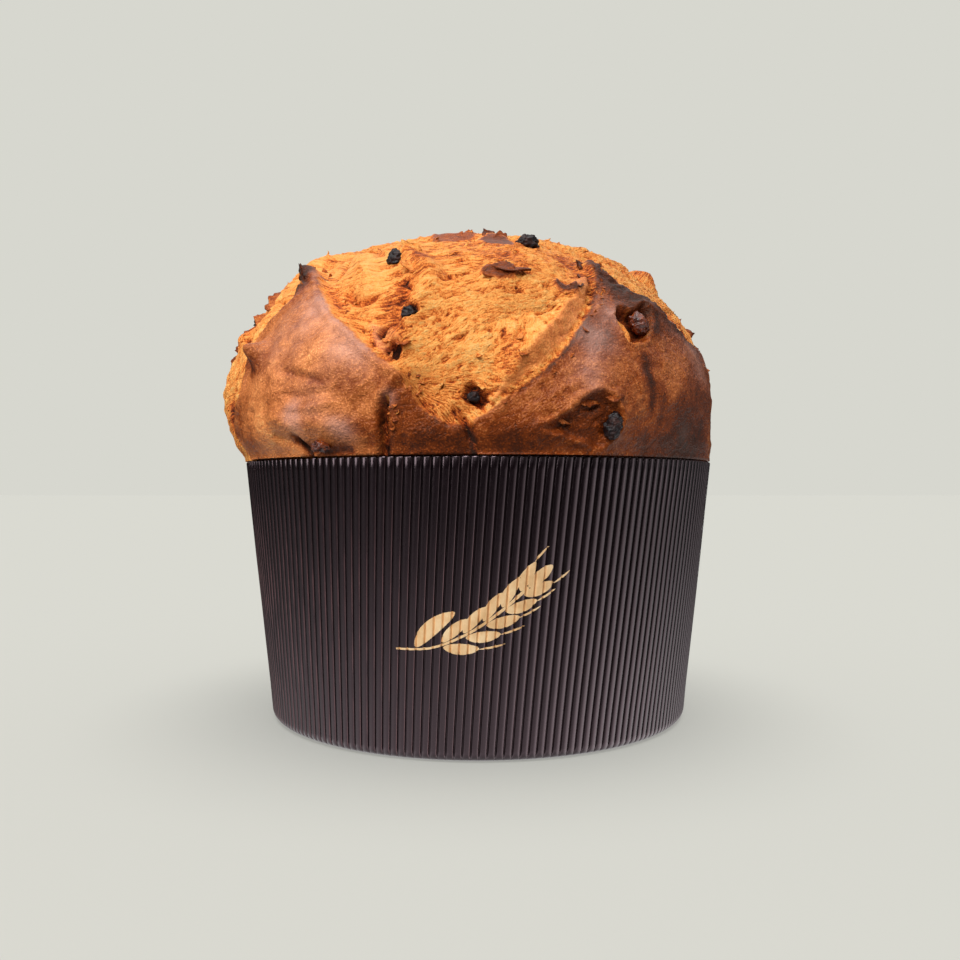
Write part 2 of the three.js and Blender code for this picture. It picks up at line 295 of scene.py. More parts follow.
foil_bm = bmesh.new()
stalk = curve_through(STALK, 40)
made = bmesh.ops.create_grid(foil_bm, x_segments=40, y_segments=1, size=1)["verts"]
for vertex in made:
    i = round((vertex.co.x + 1) * 20)
    run = stalk[min(i + 1, 40)] - stalk[max(i - 1, 0)]
    out = Vector((-run[1], run[0])).normalized() * vertex.co.y * (0.28 + 0.005 * i)
    vertex.co = (stalk[i][0] + out[0], stalk[i][1] + out[1], 0)
for i in range(GRAINS):
    at = stalk[13 + 6 * i]
    ahead = stalk[14 + 6 * i] - stalk[12 + 6 * i]
    lie = math.atan2(ahead[1], ahead[0])
    size = 10.6 - 0.3 * i
    for side in (-1, 1):
        out = Vector((-math.sin(lie), math.cos(lie))) * side
        foot = (at[0] + 0.75 * out[0], at[1] + 0.75 * out[1])
        leaf(foil_bm, foot, lie + side * 0.5, size, 3.3, -side * 1.4)
        tip = (foot[0] + size * math.cos(lie + side * 0.38), foot[1] + size * math.sin(lie + side * 0.38))
        leaf(foil_bm, tip, lie + side * 0.24, 8.0 - 0.5 * i, 0.6, -side * 0.8)
lie = math.atan2(*(stalk[-1] - stalk[-3])[::-1])
leaf(foil_bm, stalk[-1] + 0.04 * (stalk[-1] - stalk[-3]), lie, 9.5, 3.4)
leaf(foil_bm, (stalk[6][0], stalk[6][1] + 0.6), 1.0, 15.5, 4.8, -4.4)
lean = FLUTE_TWIST * wall_radius(PRINT_HEIGHT) / CASE_HEIGHT
for vertex in foil_bm.verts:
    vertex.co.x -= lean * (PRINT_HEIGHT + vertex.co.y)
pitch = 2 * math.pi / FLUTES * wall_radius(PRINT_HEIGHT)
span = [vertex.co.x / pitch for vertex in foil_bm.verts]
for i in range(math.floor(min(span)), math.ceil(max(span))):
    for phase in COLUMNS:
        bmesh.ops.bisect_plane(foil_bm, geom=foil_bm.verts[:] + foil_bm.edges[:] + foil_bm.faces[:],
                               plane_co=((i + (phase + 1) / 2) * pitch, 0, 0), plane_no=(1, 0, 0))
for vertex in foil_bm.verts:
    vertex.co.z -= FOIL
raised = bmesh.ops.extrude_face_region(foil_bm, geom=foil_bm.faces[:])["geom"]
for vertex in [v for v in raised if isinstance(v, bmesh.types.BMVert)]:
    vertex.co.z += 2 * FOIL
flat = np.array([v.co for v in foil_bm.verts])
heights = PRINT_HEIGHT + flat[:, 1]
wrapped = fluted(flat[:, 0] / wall_radius(PRINT_HEIGHT), wall_radius(heights) + flat[:, 2], heights)
for vertex, place in zip(foil_bm.verts, wrapped):
    vertex.co = Vector(place) * MM
bmesh.ops.recalc_face_normals(foil_bm, faces=foil_bm.faces)
ear = keep(foil_bm, "gold_wheat_ear", smooth=False)

gold = Shading("gold_foil")
here = gold.add("ShaderNodeTexCoord").outputs["Object"]
pressed = gold.noise(here, 900, 3, 0.6)
patchy = gold.noise(here, 160, 4, 0.6)
gold.feed(gold.surface, {
    "Base Color": gold.ramp(patchy, [(0.3, colour(214, 170, 118)), (0.5, colour(236, 198, 148)),
                                     (0.7, colour(248, 220, 176))]),
    "Metallic": 0.1,
    "Roughness": gold.mapped(pressed, 0.3, 0.7, 0.36, 0.54),
    "Normal": gold.bump(pressed, 0.00008, 0.4),
})
ear.data.materials.append(gold.material)
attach(ear, "root")


# The loaf is a tall sweet bread, baked brown. A cross was cut in its top, and the dough has torn open there:
# petals of smooth crust stand over stretched golden crumb, and it bulges over the case's rim. Made from one
# fine ball whose upper half is moved out to the crust, with the body drawn down from its edge.
DOME_RADIUS = 88.6
DOME_HEIGHT = 76
DOME_POWER = 2.75
DOME_LEAN = 2.6
NECK = 2.0
NECK_RISE = 14
CLEARANCE = 0.35
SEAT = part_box("paper_case")[1].z / MM + CLEARANCE
SKIN = 2.1
SKIN_ROUNDING = 7
LIP_INSET = 1.5
LIP_WIDTH = 1.6
MOAT_WIDTH = 3.2

# The petals: how proud the lip stands, how deep the crumb lies beside it, how ragged the edge is, how baked
# the skin, and the outline. Places on the loaf are azimuth from the front and rise from the rim, in degrees.
PETALS = [
    dict(lip=1.2, moat=2.6, ragged=0.5, bake=0.42, outline=[
        (-63, -8), (-63, 6), (-57, 14), (-57, 21), (-53, 27), (-47, 33), (-50, 38), (-57, 45),
        (-45, 41), (-35, 32), (-25, 24), (-16, 17), (-11.5, 13), (-15.6, 9.4), (-16.4, 7), (-17, 4.5),
        (-18, 1.8), (-19, -1), (-19, -8)]),
    dict(lip=0.4, moat=0.6, ragged=0.8, bake=0.58, outline=[
        (-18.2, -8), (-18.2, -1), (-17.2, 1.8), (-16.2, 4.5), (-15.5, 7), (-15.4, 8.6), (-13.7, 10.5),
        (-12.4, 12.6), (-10.8, 11.5), (-9.3, 9.2), (-7.8, 8.1), (-5.5, 6.6), (-3.4, 5.4), (-1.2, 5),
        (-0.8, 2), (-1.2, -8)]),
    dict(lip=0.5, moat=0.9, ragged=0.4, bake=0.48, outline=[
        (0, -8), (0, 4.5), (5, 9), (16, 17), (23, 25), (28, 31), (31, 37), (33, 43),
        (39, 37), (46, 31), (56, 27), (67, 23.5), (78, 20), (86, 10), (88, -8)]),
    dict(lip=0.8, moat=2.2, ragged=1.0, bake=0.46, outline=[
        (104, -8), (101, 10), (99, 22), (108, 33), (122, 43), (135, 35), (149, 26), (160, 13), (165, -8)]),
    dict(lip=0.8, moat=2.4, ragged=1.0, bake=0.4, outline=[
        (182, -8), (184, 9), (195, 21), (203, 33), (221, 44), (238, 35), (249, 27), (262, 13), (267, -8)]),
]

# Smaller skins and openings: how proud, how much of it is crust, how baked, how soft its edge is, how far its
# rim stands up where that isn't the usual amount, and its outline. The dark tone of the sunken openings is
# painted shade.
PATCHES = [
    dict(height=0.8, cover=0.8, bake=0.36, edge=1.2, outline=[
        (22, 29.9), (18.8, 27), (15.6, 24), (12.7, 21), (10.5, 18.5), (7.9, 15.4), (6.2, 13), (4, 9),
        (8.9, 13), (12.5, 15.8), (16, 18.6), (19, 21.4), (22.5, 25.7), (26, 31), (28, 36), (24, 34)]),
    # The fold: its dark tone is browned skin and also painted shade in the recess.
    dict(height=-3.0, cover=1.0, bake=0.72, edge=2.4, rim=1.0, outline=[
        (12.2, 4.4), (15.8, 6), (18.7, 8.2), (21.7, 10.7), (24.5, 11), (26.9, 10.4), (28.4, 8.1), (28.9, 5.6),
        (24.6, 1.6), (21.8, 2), (19.1, 2.7), (16.3, 3.9)]),
    # The pocket: burnt skin over the peel, its dark tone also painted shade in the hollow.
    dict(height=-4.4, cover=0.6, bake=0.84, edge=1.6, rim=0.8, outline=[
        (30.8, 26.4), (33.4, 29.2), (36.4, 28.4), (39.6, 29.4), (40.4, 26.6), (38, 22.6),
        (34.6, 21), (32.6, 21), (31.4, 23.6)]),
    dict(height=2.2, cover=0.0, bake=0.24, edge=2.0, rim=0, outline=[
        (30.8, 26.8), (33.4, 27.6), (35.4, 25.6), (35.4, 22.8), (34.4, 20.6), (31.8, 22)]),
    dict(height=1.0, cover=1.0, bake=0.86, edge=1.2, rim=0.6, outline=[
        (38.6, 30), (42, 29), (43, 26), (41, 23), (39.4, 23.4), (40.6, 26), (39.8, 28)]),
    dict(height=0.7, cover=0.9, bake=0.76, edge=0.8, outline=[
        (3, 57), (8, 61), (15, 58), (15, 51), (11, 47.5), (8, 49), (5, 53)]),
    dict(height=0.8, cover=0.7, bake=0.66, edge=0.8, outline=[
        (-16, 58), (-8, 55.5), (0, 58), (2, 63), (-8, 66), (-18, 64)]),
    dict(height=1.2, cover=0.9, bake=0.76, edge=0.7, outline=[
        (2.5, 35.6), (4.2, 36.9), (8.3, 38.2), (10.6, 35.6), (8.8, 34), (6, 33.6), (3.4, 34.4)]),
    dict(height=0.5, cover=0.12, bake=0.46, edge=1.6, outline=[
        (6.6, 22.6), (9, 22), (9.4, 18), (8.8, 14.4), (6.2, 14.4), (6.9, 18)]),
    dict(height=0.6, cover=1.0, bake=0.8, edge=0.7, outline=[
        (18.2, 33.6), (20, 34.8), (21.2, 33.1), (23.9, 33.4), (23.4, 31.6), (20, 31.6)]),
    dict(height=0.8, cover=0.55, bake=0.42, edge=0.8, outline=[
        (-21, 25.5), (-17.5, 24.2), (-13.6, 22), (-12.8, 19.5), (-16, 18.4), (-19, 21.2)]),
    # Openings in the crumb, painted almost black: painted shade in the holes.
    dict(height=-2.6, cover=0.0, bake=0.95, edge=0.9, outline=[
        (-14.2, 26.2), (-12.6, 27.4), (-10.2, 27.6), (-9.8, 26.2), (-11.4, 24.8), (-13.6, 24.9)]),
    dict(height=-3.2, cover=0.0, bake=0.97, edge=0.9, outline=[
        (-16.8, 19.2), (-15, 20.2), (-13.4, 20.2), (-12.8, 19), (-14, 17.2), (-15.2, 17.8)]),
    dict(height=-2.0, cover=0.0, bake=0.86, edge=0.8, outline=[
        (-18.8, 22.9), (-17, 23.8), (-15.4, 23.6), (-16.4, 22.2), (-18, 21.8)]),
    dict(height=-1.8, cover=0.0, bake=0.9, edge=0.6, outline=[
        (-14.0, 29.0), (-12.9, 30.0), (-12.4, 28.7), (-13.3, 28.0)]),
    dict(height=0.8, cover=0.9, bake=0.74, edge=0.8, outline=[
        (182, 34), (187, 37), (193, 34.6), (190, 31.4), (184, 30.6)]),
    # An opening at the back, painted dark: painted shade in the hole.
    dict(height=-2.4, cover=0.0, bake=0.88, edge=0.9, outline=[
        (167.6, 24), (170.8, 25.8), (174, 24.8), (172.6, 22.4), (169, 22.2)]),
    # A sunken hollow by the front notch, painted dark: painted shade in it.
    dict(height=-1.8, cover=0.0, bake=0.76, edge=0.8, outline=[
        (-1.4, 10.4), (-0.4, 12.6), (2.2, 12.4), (3.6, 10), (2.6, 8.6), (0.2, 9)]),
]

# Swells and hollows: azimuth, rise, half width and height.
SWELLS = [
    (-27, 19, 15, 1.6), (-36, 13, 7, -1.3), (-38, 6, 11, 1.5), (-14, 12, 6, 2.0), (-50, 20.6, 3.1, 6.4),
    (-58, 25, 4, 1.6), (-72, 27, 4.5, 3.4), (-84, 17, 14, 4.6), (-90, 4, 12, -2.2), (-56, 42, 7, 3.2),
    (-78, 48, 17, 4.6), (27, 6, 9, 2.3), (45, 17, 20, 1.4), (44, 30, 6, 1.6), (88, 47, 8, 9.6),
    (88, 60, 8, -3.6), (84, 0, 16, -3.6), (90, 35, 7, -3.0), (92, 27, 6, 1.6), (92, 21, 13, 2.2),
    (76, 7, 14, -3.4), (12, 40, 16, 1.8), (-28, 50, 12, 1.5), (120, 22, 17, 2.4), (146, 10, 12, 1.8),
    (210, 12, 15, 2.2), (236, 24, 13, 2.0), (172, 40, 10, 2.6), (128, 30, 6, 1.6), (110, 10, 8, 1.4),
    (226, 28, 6, 1.6), (250, 8, 9, 1.4),
]

# Rolls of dough and creases in it: points along each, then its half width and height.
STROKES = [
    ([(-17, 44), (-9, 36), (-11, 28), (-13, 21), (-13, 16)], 3.6, 3.0),
    ([(34, 41), (25, 33), (17, 25), (10, 18), (4, 11)], 3.4, 1.5),
    ([(-75, 50), (-30, 62), (20, 60), (60, 48)], 5.0, 2.6),
    ([(180, 52), (178, 40), (172, 28), (174, 14)], 4.2, 2.6),
    ([(95, 50), (150, 62), (215, 58)], 4.6, 2.4),
    ([(112, 18), (118, 16), (126, 17)], 1.2, -1.5),
    ([(132, 8), (140, 6.5), (148, 7)], 2.6, 1.2),
    ([(205, 15), (214, 13), (222, 14.5)], 1.2, -1.5),
    ([(236, 14), (243, 12), (250, 13)], 1.4, -1.3),
    ([(180, 46), (186, 42), (192, 40)], 1.4, -2.0),
    ([(158, 40), (164, 36), (168, 31)], 1.4, -2.0),
    ([(-15.6, 9.5), (-16.3, 7), (-16.8, 4.5), (-17.8, 1.8), (-19, -1)], 1.0, -3.2),
    ([(-36.8, 3.4), (-36.2, 1.6), (-35.8, -0.5)], 1.1, -3.2),
    ([(-39, 16), (-35.5, 15.2), (-32.7, 14.5), (-29, 13.4)], 1.1, -1.2),
    ([(-41, 7), (-34, 5.6), (-28, 5.2), (-21, 5.4)], 3.2, 1.1),
    ([(-42, 3.6), (-37.5, 2.8), (-33.5, 0.9), (-26, 0.9)], 1.7, -1.8),
    ([(-47, 50), (-42, 45), (-39, 41)], 1.3, -2.2),
    ([(-30, 34), (-27, 31.5), (-24, 30.5), (-21.5, 31)], 1.3, -2.2),
    ([(-40, 54), (-32, 50), (-26, 45)], 1.4, -1.8),
    ([(-33, 45), (-27, 39), (-24, 35)], 3.4, 1.6),
    ([(-38, 11.5), (-33, 11), (-27, 11.4)], 0.8, -0.8),
    ([(-37, 9.2), (-31, 8.6), (-26, 9.4)], 1.0, 0.9),
    ([(-12.5, 33.5), (-14, 29.5), (-14.4, 25)], 1.6, -1.8),
    ([(-1, 6.5), (-0.5, 4.2), (-2, 1.5), (-2.4, -1)], 1.3, -1.8),
]


def direction(azimuth, rise):
    azimuth, rise = np.radians(azimuth), np.radians(rise)
    level = np.cos(rise)
    return np.stack([level * np.sin(azimuth), -level * np.cos(azimuth), np.sin(rise)], axis=-1)


def reach(places, line):
    """How far each place lies from a line of points on the dome, in millimetres."""
    points = direction(line[:, 0], line[:, 1]) * DOME_RADIUS
    tree = kdtree.KDTree(len(points))
    for i, point in enumerate(points):
        tree.insert(point, i)
    tree.balance()
    return np.array([tree.find(place)[2] for place in places])


def inside_of(azimuth, rise, line):
    """Whether each place lies inside an outline on the dome, by the crossings of a line of equal rise."""
    found = np.zeros(len(azimuth), bool)
    for (az_a, rise_a), (az_b, rise_b) in zip(line, np.roll(line, -1, axis=0)):
        spans = (rise_a > rise) != (rise_b > rise)
        if rise_a != rise_b:
            crossing = az_a + (rise - rise_a) / (rise_b - rise_a) * (az_b - az_a)
            found ^= spans & (azimuth < crossing)
    return found


def depth_in(places, outline):
    """How deep each place lies inside an outline, in millimetres, and below zero how far outside."""
    line = curve_through(outline + outline[:1], 30 * len(outline))
    lean = places / np.linalg.norm(places, axis=1)[:, None]
    rises = np.degrees(np.arcsin(lean[:, 2]))
    bearings = np.degrees(np.arctan2(lean[:, 0], -lean[:, 1]))
    hit = inside_of(bearings, rises, line) | inside_of(bearings + 360, rises, line)
    return np.where(hit, 1, -1) * reach(places, line)


def near(azimuth, rise, width):
    """How much of a round touch each place gets, from 1 at its middle."""
    return bell(np.linalg.norm(places - direction(azimuth, rise) * DOME_RADIUS, axis=1) / width)


def beside(points, width, steps=200):
    """How much of a stroke through some points each place gets, from 1 on its line."""
    return bell(reach(places, curve_through(points, steps)) / width)


bm = bmesh.new()
bmesh.ops.create_icosphere(bm, subdivisions=8, radius=1)
bmesh.ops.bisect_plane(bm, geom=bm.verts[:] + bm.edges[:] + bm.faces[:], plane_co=(0, 0, 0),
                       plane_no=(0, 0, 1), clear_inner=True)
balls = np.array([v.co for v in bm.verts])
dirs = balls / np.linalg.norm(balls, axis=1)[:, None]
rise = np.degrees(np.arcsin(np.clip(dirs[:, 2], 0, 1)))
azimuth = np.degrees(np.arctan2(dirs[:, 0], -dirs[:, 1]))
places = dirs * DOME_RADIUS

# The petals, as signed distance from the edge: above zero on the crust. Small wanderings make the edges
# ragged.
wander = np.stack([grain(places, 7, 3, seed) for seed in (3, 11, 19)], axis=-1)
petal_gap = np.full(len(dirs), -99.0)
lip = np.zeros(len(dirs))
moat = np.zeros(len(dirs))
bake = np.zeros(len(dirs))
for petal in PETALS:
    gap = depth_in(places + petal["ragged"] * 1.6 * wander, petal["outline"])
    petal_gap = np.where(gap > 0, gap, np.maximum(petal_gap, gap))
    lip = np.where(gap > 0, petal["lip"], lip)
    bake = np.where(gap > -1.5, petal["bake"], bake)
    gap = np.abs(gap)
    moat = np.maximum(moat, petal["moat"] * (gap / MOAT_WIDTH) * np.exp(1 - gap / MOAT_WIDTH))

crust = ease(-0.2, 0.5, petal_gap)
on_skin = SKIN * (1 - np.exp(-np.maximum(petal_gap, 0) / SKIN_ROUNDING))
on_skin += lip * bell((petal_gap - LIP_INSET) / LIP_WIDTH)
relief = np.where(petal_gap > 0, on_skin, -moat)
cover = crust.copy()
patched = []
for patch in PATCHES:
    gap = depth_in(places + 0.8 * wander, patch["outline"])
    within = ease(-patch["edge"] / 2, patch["edge"], gap)
    relief += patch["height"] * within + patch.get("rim", 0.5) * bell((gap + patch["edge"] / 4) / 0.9)
    cover += (patch["cover"] - cover) * within
    patched.append((within, patch["bake"]))
for az, up, width, height in SWELLS:
    relief += height * near(az, up, width)
for points, width, height in STROKES:
    relief += height * beside(points, width)

# The torn crumb's strands fan out to the right from the notch between the front petals, level out higher up
# and curve over in the left tear. Along runs with the strands and across counts them, both in millimetres.
NOTCH = (-12, 14)
side = places[:, 0] - DOME_RADIUS * math.sin(math.radians(NOTCH[0]))
height = DOME_RADIUS * np.radians(rise - NOTCH[1])
fan = np.degrees(np.arctan2(height, side + 0.001))
over = height - (0.25 + 0.65 * bell(height / 30)) * side * (1 - 0.004 * side)
across = np.where(over > 0, over * (1 - 0.15 * ease(0, 40, over)), 20 * np.radians(fan - 42))
along = np.hypot(side, height)
to_right = ease(-16, 3, side)
across = to_right * across + (1 - to_right) * (0.9 * height + 0.012 * (side + 26) ** 2)
to_back = ease(-0.05, 0.3, dirs[:, 1])
across += to_back * (DOME_RADIUS * np.radians(rise) - across)
depth = 0.25 * (places[:, 0] + places[:, 1])
warp = 2.2 * grain(places, 16, 2, 5) + 0.5 * grain(places, 5, 1, 6)
strand_at = np.stack([along, across + warp, depth], axis=-1)
coarse = grain(strand_at * (0.42, 1, 0.5), 5.0, 2, 31)
fine = grain(strand_at * (0.5, 1, 0.6), 1.7, 2, 47)
fluff = grain(places, 1.7, 2, 49)
lumps = grain(places, 11, 3, 53)
tears = grain(strand_at * (0.36, 1, 0.5), 5.5, 2, 37)
torn = (1 - cover) * (1 - 0.45 * near(-31, 42, 15))
cracks = ease(0.62, 0.9, 1 - 4.0 * np.abs(tears)) * ease(0.08, 0.3, grain(places, 9, 2, 43))
roughness = 0.2 * (1 - 2 * np.abs(coarse)) + 0.42 * fine + 0.46 * fluff + 0.7 * lumps
relief += torn * (roughness - 0.2 - 1.1 * cracks)

# The crust's own relief: broad unevenness, stretched blisters, wrinkles in the fold and on the dark ridge,
# and finer ones where the skin was stretched.
uneven = grain(places, 17, 3, 61)
sideways = places @ np.array([[0.906, 0, 0.423], [0, 1, 0], [-0.423, 0, 0.906]]).T
blister = grain(sideways * (0.5, 0.7, 1), 2.6, 2, 71)
wrinkle = 1 - 2 * np.abs(grain(sideways * (0.3, 0.6, 1), 3.0, 2, 77))
fine_wrinkle = 1 - 2 * np.abs(grain(sideways * (0.3, 0.6, 1), 1.7, 2, 79))
stretched_at = near(-37, 10, 10) + near(24, 7, 12)
folds = 1.5 * near(22, 6, 10) + beside([(34, 42), (42, 33), (54, 28)], 5, 60) + 1.1 * near(-51, 38, 7)
relief += cover * (uneven + 0.24 * np.maximum(blister, 0) + 0.12 * blister)
relief += cover * (folds * wrinkle + 0.35 * stretched_at * fine_wrinkle)

# From the bare dome out to the crust.
level = np.hypot(dirs[:, 0], dirs[:, 1])
bare = ((level / DOME_RADIUS) ** DOME_POWER + (np.maximum(dirs[:, 2], 0) / DOME_HEIGHT) ** DOME_POWER)
bare = bare ** (-1 / DOME_POWER) - NECK * (1 - ease(0, NECK_RISE, rise)) - 1.4 * (1 - ease(0, 4, rise))
free = ease(-0.5, 7, rise)
relief *= 0.5 + 0.5 * free
shape = dirs * (bare + relief)[:, None]
shape += np.stack([-DOME_LEAN * free, 0 * free, np.full(len(free), SEAT)], axis=-1)
for vertex, place in zip(bm.verts, shape):
    vertex.co = Vector(place) * MM

# How far each place is baked: 0 is pale crumb, 1 is burnt. The same tone also carries painted shade in
# creases, slits and openings, and painted highlights along lips, as marked below. Browned places are azimuth,
# rise, half width and amount.
BROWNED_CRUST = [
    (-55, 41, 8, 0.6), (-52, 37, 6, 0.5), (-47, 36, 5, 0.3), (-32, 20, 10, -0.08), (-38, 4, 8, -0.2),
    (-47, 5, 8, -0.3), (-19, 5, 5, 0.2), (-22, 12, 4, 0.1), (-9, 5, 7, 0.1), (60, 10, 10, 0.08),
    (7, 2, 10, 0.12), (36, 25.5, 7, 0.22), (60, 14, 15, 0.05), (-47, 18, 4, 0.12), (56, 14, 12, 0.12),
    (50, 3, 12, 0.34), (37, 1, 9, 0.2), (26, 22, 8, 0.24), (31, 15, 6, -0.12), (46, 16, 7, -0.14),
    (122, 42, 8, 0.45), (221, 43, 8, 0.45), (130, 6, 12, 0.2), (150, 22, 6, 0.2), (205, 30, 7, 0.2),
    (232, 7, 12, 0.22), (115, 24, 6, -0.12), (140, 14, 8, -0.14), (212, 14, 9, -0.14), (245, 22, 8, -0.12),
    (-55, 20, 3, 0.35), (-50.6, 17.8, 2.6, 0.4),
]
BROWNED_CRUMB = [
    (0, 47, 14, 0.14), (-4, 43, 2.6, 0.3), (4, 41.5, 2.6, 0.3), (-1, 51, 3, 0.3), (13, 38.5, 3, 0.3),
    (-28, 44, 11, -0.14), (-70, 10, 5, 0.8), (-72, 31, 6, 0.4), (-80, 26, 6, 0.3), (-10, 59, 8, 0.4),
    (7, 51, 5, 0.42), (9.5, 42, 4, 0.5), (7.7, 20, 3.2, 0.35), (8, 16, 2.8, 0.3), (5, 13, 3, 0.25),
    (-16, 22, 3.5, 0.4), (28, 36, 5, 0.3), (22, 32, 3.6, 0.4), (88, 47, 8, 0.2), (-48, 40, 4, 0.25),
    (18, 48, 5, 0.3), (-8, 6, 9, 0.3), (-1, 3, 5, 0.4), (100, 40, 12, 0.25),
]
for az, up, width, amount in BROWNED_CRUST:
    bake += cover * amount * near(az, up, width)
crumb_bake_and_shade = 0.28 + 0.06 * grain(places, 14, 3, 81) + 0.11 * grain(places, 6, 3, 91)
for az, up, width, amount in BROWNED_CRUMB:
    crumb_bake_and_shade += 0.6 * amount * near(az, up, width)
# Lines of browning, and some of painted shade or painted highlight as marked: points along each, then its half
# width and amount.
BROWNING_SHADE_AND_HIGHLIGHT_LINES = [
    ([(30, 44), (35, 37), (41, 32), (50, 29.5), (62, 26)], 6, 0.52),
    ([(-20, 50), (-12, 39), (-14.5, 33), (-16, 27), (-14.5, 21)], 3.6, 0.46),
    # Painted shade on the crumb beside the left petal's lip.
    ([(-40, 38), (-27, 27), (-15, 18)], 3, 0.28),
    ([(28, 35), (22, 27), (16.5, 20), (11, 15), (7, 11.5)], 1.6, 0.34),
    # A painted highlight along the right petal's lip.
    ([(29.5, 35), (26, 29.8), (21.5, 23.8), (16, 18), (10, 13)], 0.6, -0.14),
    ([(30, 34), (27, 29.8), (22.4, 23.4), (16.6, 17.2), (9.6, 11.8)], 0.9, 0.36),
    # A painted highlight along the left petal's rolled lip.
    ([(-39, 36), (-30, 28.4), (-21, 21.4)], 0.7, -0.2),
    # Painted shade down the creases and cracks, in the slit and under the left petal's overhang.
    ([(-15.6, 9.0), (-16.2, 7), (-17, 3.5), (-18.6, -1)], 1.0, 0.9),
    ([(-0.9, 6), (-0.5, 3.5), (-0.7, 0), (-1, -3)], 0.9, 0.8),
    ([(-37.5, 15.6), (-33, 14.6), (-28, 13)], 1.2, 0.2),
    ([(-36.8, 3.4), (-36.2, 1.6), (-35.8, -0.5)], 1.0, 0.8),
    ([(-38, 3.2), (-34, 1.4), (-30, 1), (-25, 1)], 1.3, 0.5),
    ([(36.2, 18.5), (36, 15.5), (37.4, 12.5), (36.8, 9.5)], 1.9, 0.42),
    ([(39.6, 13), (40.4, 10), (39.8, 7)], 1.6, 0.24),
    ([(108, 33), (122, 43), (135, 35), (149, 26)], 3, 0.3),
    ([(195, 21), (203, 33), (221, 44), (238, 35)], 3, 0.3),
    ([(180, 52), (178, 40), (172, 28), (174, 14)], 3.2, 0.5),
    # Painted shade in the creases of the back petals and of the left lobe.
    ([(180, 46), (186, 42), (192, 40)], 1.3, 0.5),
    ([(158, 40), (164, 36), (168, 31)], 1.3, 0.5),
    ([(-47, 50), (-42, 45), (-39, 41)], 1.3, 0.6),
    ([(-30, 34), (-27, 31.5), (-24, 30.5), (-21.5, 31)], 1.3, 0.6),
    ([(-40, 54), (-32, 50), (-26, 45)], 1.2, 0.5),
]
for points, width, amount in BROWNING_SHADE_AND_HIGHLIGHT_LINES:
    browning_and_shade = amount * beside(points, width)
    bake += 0.8 * browning_and_shade
    crumb_bake_and_shade += 0.6 * browning_and_shade
bake += 0.14 * grain(places, 16, 3, 83)
# Darker towards the rim, from just left of the front round the right side to the back.
bake += 0.12 * (1 - ease(0, 9, rise)) * ease(-20, -14, azimuth)
# Painted shade: the crumb is darker in its cracks and where its lumps and fibres sink.
crumb_bake_and_shade += 0.35 * cracks - 0.10 * lumps - 0.14 * fine - 0.12 * fluff
for within, tone in patched:
    bake += (tone - bake) * within
    crumb_bake_and_shade += (tone - crumb_bake_and_shade) * within
# Where the crust is glossier, with its colour mixed towards pale pinkish grey there as a painted sheen:
# azimuth, rise, half width, amount.
GLOSS_AND_PAINTED_SHEEN = [
    (-33, 30, 9, 0.8), (-23, 21, 8, 1.0), (-40, 22, 9, 0.5), (-31, 10, 6, 0.5), (-25, 5, 3.4, 1.3),
    (-35, 7, 3.4, 1.3), (-14.8, 9.8, 2, 0.9), (25, 21, 6, 0.9), (30, 27, 4, 0.8), (22, 14, 5, 0.6),
    (48, 5, 3, 0.25), (58, 20, 7, 0.5), (130, 24, 10, 0.7), (212, 24, 11, 0.7), (240, 12, 8, 0.5),
]
gloss_and_sheen = np.zeros(len(dirs))
for az, up, width, amount in GLOSS_AND_PAINTED_SHEEN:
    gloss_and_sheen += amount * near(az, up, width)
gloss_and_sheen = np.clip(gloss_and_sheen * (1 + 0.8 * grain(places, 9, 3, 95)), 0, 1)
for name, values in (("crust", cover), ("bake", bake), ("crumb_bake_and_shade", crumb_bake_and_shade), ("gloss_and_sheen", gloss_and_sheen)):
    layer = bm.verts.layers.float.new(name)
    for vertex, value in zip(bm.verts, values):
        vertex[layer] = value
layer = bm.verts.layers.float_vector.new("strand")
for vertex, value in zip(bm.verts, strand_at * MM):
    vertex[layer] = value

# The body in the case is drawn down from the dome's open edge, ring by ring, and closed at the bottom.
snug = [(wall_radius(z) - WALL - CLEARANCE, z + CLEARANCE) for z in (CASE_HEIGHT, HEEL)]
rings = snug + [(wall_radius(HEEL) - HEEL - 3, FLOOR + CLEARANCE)]
edge = draw_rings(bm, [e for e in bm.edges if e.is_boundary], [(r * MM, z * MM) for r, z in rings])
bmesh.ops.contextual_create(bm, geom=edge)
bmesh.ops.recalc_face_normals(bm, faces=bm.faces)
loaf = keep(bm, "crusty_loaf")

bread = Shading("baked_dough")
here = bread.add("ShaderNodeTexCoord").outputs["Object"]
is_crust = bread.attribute("crust")["Fac"]
baked = bread.attribute("bake")["Fac"]
crumb_baked_and_shaded = bread.attribute("crumb_bake_and_shade")["Fac"]
strands = bread.attribute("strand")["Vector"]
stretched = bread.add("ShaderNodeMapping", {"Vector": strands, "Scale": (0.24, 1, 0.6)}).outputs["Vector"]
threads = bread.noise(stretched, 1700, 3, 0.6)
tufts = bread.noise(stretched, 620, 3, 0.6)
fuzz = bread.noise(here, 1900, 3, 0.65)
pores = bread.noise(here, 800, 3, 0.6)
mottle = bread.noise(here, 150, 5, 0.65)
slant = (0, math.radians(25), 0)
slanting = bread.add("ShaderNodeMapping", {"Vector": here, "Rotation": slant}).outputs["Vector"]
pulled = bread.add("ShaderNodeMapping", {"Vector": slanting, "Scale": (0.5, 0.7, 1)}).outputs["Vector"]
speckle = bread.noise(here, 1700, 1, 0.5)
stretch_marks = bread.noise(pulled, 620, 3, 0.6)

